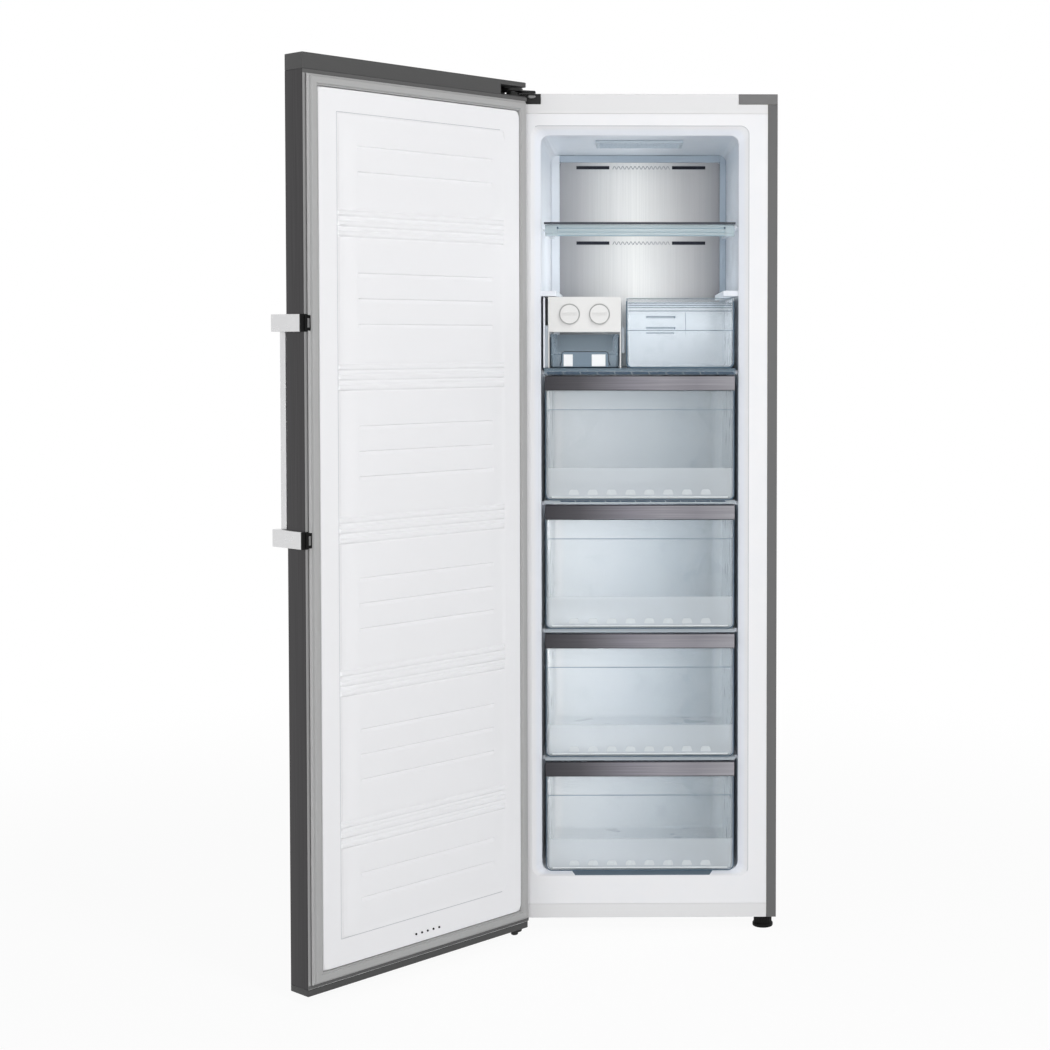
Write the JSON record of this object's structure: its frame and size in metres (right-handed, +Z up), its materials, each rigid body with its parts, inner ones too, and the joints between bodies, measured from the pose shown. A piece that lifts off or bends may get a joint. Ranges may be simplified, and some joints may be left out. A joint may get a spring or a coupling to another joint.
{
  "type": "upright freezer",
  "caption": "Tall free-standing freezer with a left-hung door on a bar handle, glass shelves, clear pull-out drawers and a twist ice maker with its bin.",
  "frame": {"origin": "on the floor, under the middle of the box of the freezer as it stands with its door open", "axes": "+Z up, +Y to the back of the cabinet, +X to its right as seen from the front"},
  "size_m": [1.0184, 1.0672, 1.841],
  "materials": {
    "grey_paint": "satin",
    "zinc": "galvanised",
    "foam": "matte",
    "liner_white": "semi-gloss",
    "trim_white": "satin",
    "cap_grey": "satin",
    "hinge_black": "satin",
    "pin_steel": "satin",
    "duct_steel": "brushed",
    "evaporator_aluminium": "satin",
    "black_plastic": "matte",
    "compressor_black": "semi-gloss",
    "lamp_lens": "frosted",
    "shelf_glass": "polished",
    "clear_plastic": "clear",
    "drawer_trim": "brushed",
    "ice_white": "satin",
    "door_steel": "brushed",
    "gasket": "matte",
    "door_cap": "satin",
    "chrome": "polished"
  },
  "bodies": {
    "cabinet": {"left_side_panel": "grey_paint", "right_side_panel": "grey_paint", "top_panel": "grey_paint", "rear_panel": "zinc", "base_pan": "zinc", "insulation": "foam", "liner": "liner_white", "top_rail": "trim_white", "kick_rail": "trim_white", "blanking_cap": "cap_grey", "top_shelf_glass": "shelf_glass", "top_shelf_rail": "clear_plastic", "middle_shelf_glass": "shelf_glass", "drawer_shelf_1": "shelf_glass", "drawer_shelf_2": "shelf_glass", "drawer_shelf_3": "shelf_glass", "lamp_lens": "lamp_lens", "ice_housing": "ice_white", "duct_plate": "duct_steel", "evaporator": "evaporator_aluminium", "fan_motor": "black_plastic", "compressor": "compressor_black", "compressor_cover": "zinc", "cord_inlet": "black_plastic", "roller_axle_left": "pin_steel", "roller_axle_right": "pin_steel", "top_hinge_bracket": "hinge_black", "top_hinge_pin": "pin_steel", "bottom_hinge_bracket": "hinge_black", "bottom_hinge_pin": "hinge_black"},
    "door": {"door_panel": "door_steel", "door_foam": "foam", "door_liner": "liner_white", "door_gasket": "gasket", "door_top_cap": "door_cap", "door_bottom_cap": "door_cap", "top_hinge_bush": "black_plastic", "bottom_hinge_bush": "black_plastic", "handle_bar": "chrome", "handle_bracket_bottom": "chrome", "handle_bracket_top": "chrome"},
    "drawer_1": {"drawer_1_tub": "clear_plastic", "drawer_1_trim": "drawer_trim"},
    "drawer_2": {"drawer_2_tub": "clear_plastic", "drawer_2_trim": "drawer_trim"},
    "drawer_3": {"drawer_3_tub": "clear_plastic", "drawer_3_trim": "drawer_trim"},
    "drawer_4": {"drawer_4_tub": "clear_plastic", "drawer_4_trim": "drawer_trim"},
    "small_drawer": {"small_drawer": "clear_plastic"},
    "ice_bin": {"ice_bin": "clear_plastic"},
    "ice_left": {"ice_tray_left": "clear_plastic", "ice_knob_left": "ice_white"},
    "ice_right": {"ice_tray_right": "clear_plastic", "ice_knob_right": "ice_white"},
    "fan": {"fan_blade": "cap_grey"},
    "foot_left": {"front_foot_left": "black_plastic"},
    "foot_right": {"front_foot_right": "black_plastic"},
    "roller_left": {"rear_roller_left": "black_plastic"},
    "roller_right": {"rear_roller_right": "black_plastic"}
  },
  "joints": [
    {"name": "door_hinge", "type": "hinge", "parent": "cabinet", "child": "door", "pos_m": [-0.06093, -0.09471, 0.92], "axis": [0, 0, -1], "range_deg": [-132.9, 7.1]},
    {"name": "drawer_1_slide", "type": "slide", "parent": "cabinet", "child": "drawer_1", "axis": [0, -1, 0], "range_m": [0, 0.33]},
    {"name": "drawer_2_slide", "type": "slide", "parent": "cabinet", "child": "drawer_2", "axis": [0, -1, 0], "range_m": [0, 0.33]},
    {"name": "drawer_3_slide", "type": "slide", "parent": "cabinet", "child": "drawer_3", "axis": [0, -1, 0], "range_m": [0, 0.33]},
    {"name": "drawer_4_slide", "type": "slide", "parent": "cabinet", "child": "drawer_4", "axis": [0, -1, 0], "range_m": [0, 0.28]},
    {"name": "small_drawer_slide", "type": "slide", "parent": "cabinet", "child": "small_drawer", "axis": [0, -1, 0], "range_m": [0, 0.3]},
    {"name": "ice_bin_slide", "type": "slide", "parent": "cabinet", "child": "ice_bin", "axis": [0, -1, 0], "range_m": [0, 0.2]},
    {"name": "ice_knob_left_turn", "type": "hinge", "parent": "cabinet", "child": "ice_left", "pos_m": [0.05917, -0.04871, 1.3475], "axis": [0, 1, 0], "range_deg": [0, 100], "stiffness_Nm_per_rad": 0.15},
    {"name": "ice_knob_right_turn", "type": "hinge", "parent": "cabinet", "child": "ice_right", "pos_m": [0.12417, -0.04871, 1.3475], "axis": [0, 1, 0], "range_deg": [0, 100], "stiffness_Nm_per_rad": 0.15},
    {"name": "fan_spin", "type": "hinge", "parent": "cabinet", "child": "fan", "pos_m": [0.21167, 0.41629, 1.46], "axis": [0, 1, 0], "continuous": true},
    {"name": "foot_left_turn", "type": "hinge", "parent": "cabinet", "child": "foot_left", "pos_m": [-0.05933, -0.02871, 0], "axis": [0, 0, 1], "continuous": true},
    {"name": "foot_right_turn", "type": "hinge", "parent": "cabinet", "child": "foot_right", "pos_m": [0.48267, -0.02871, 0], "axis": [0, 0, 1], "continuous": true},
    {"name": "roller_left_roll", "type": "hinge", "parent": "cabinet", "child": "roller_left", "pos_m": [-0.01833, 0.47629, 0.012], "axis": [1, 0, 0], "continuous": true},
    {"name": "roller_right_roll", "type": "hinge", "parent": "cabinet", "child": "roller_right", "pos_m": [0.44167, 0.47629, 0.012], "axis": [1, 0, 0], "continuous": true}
  ]
}
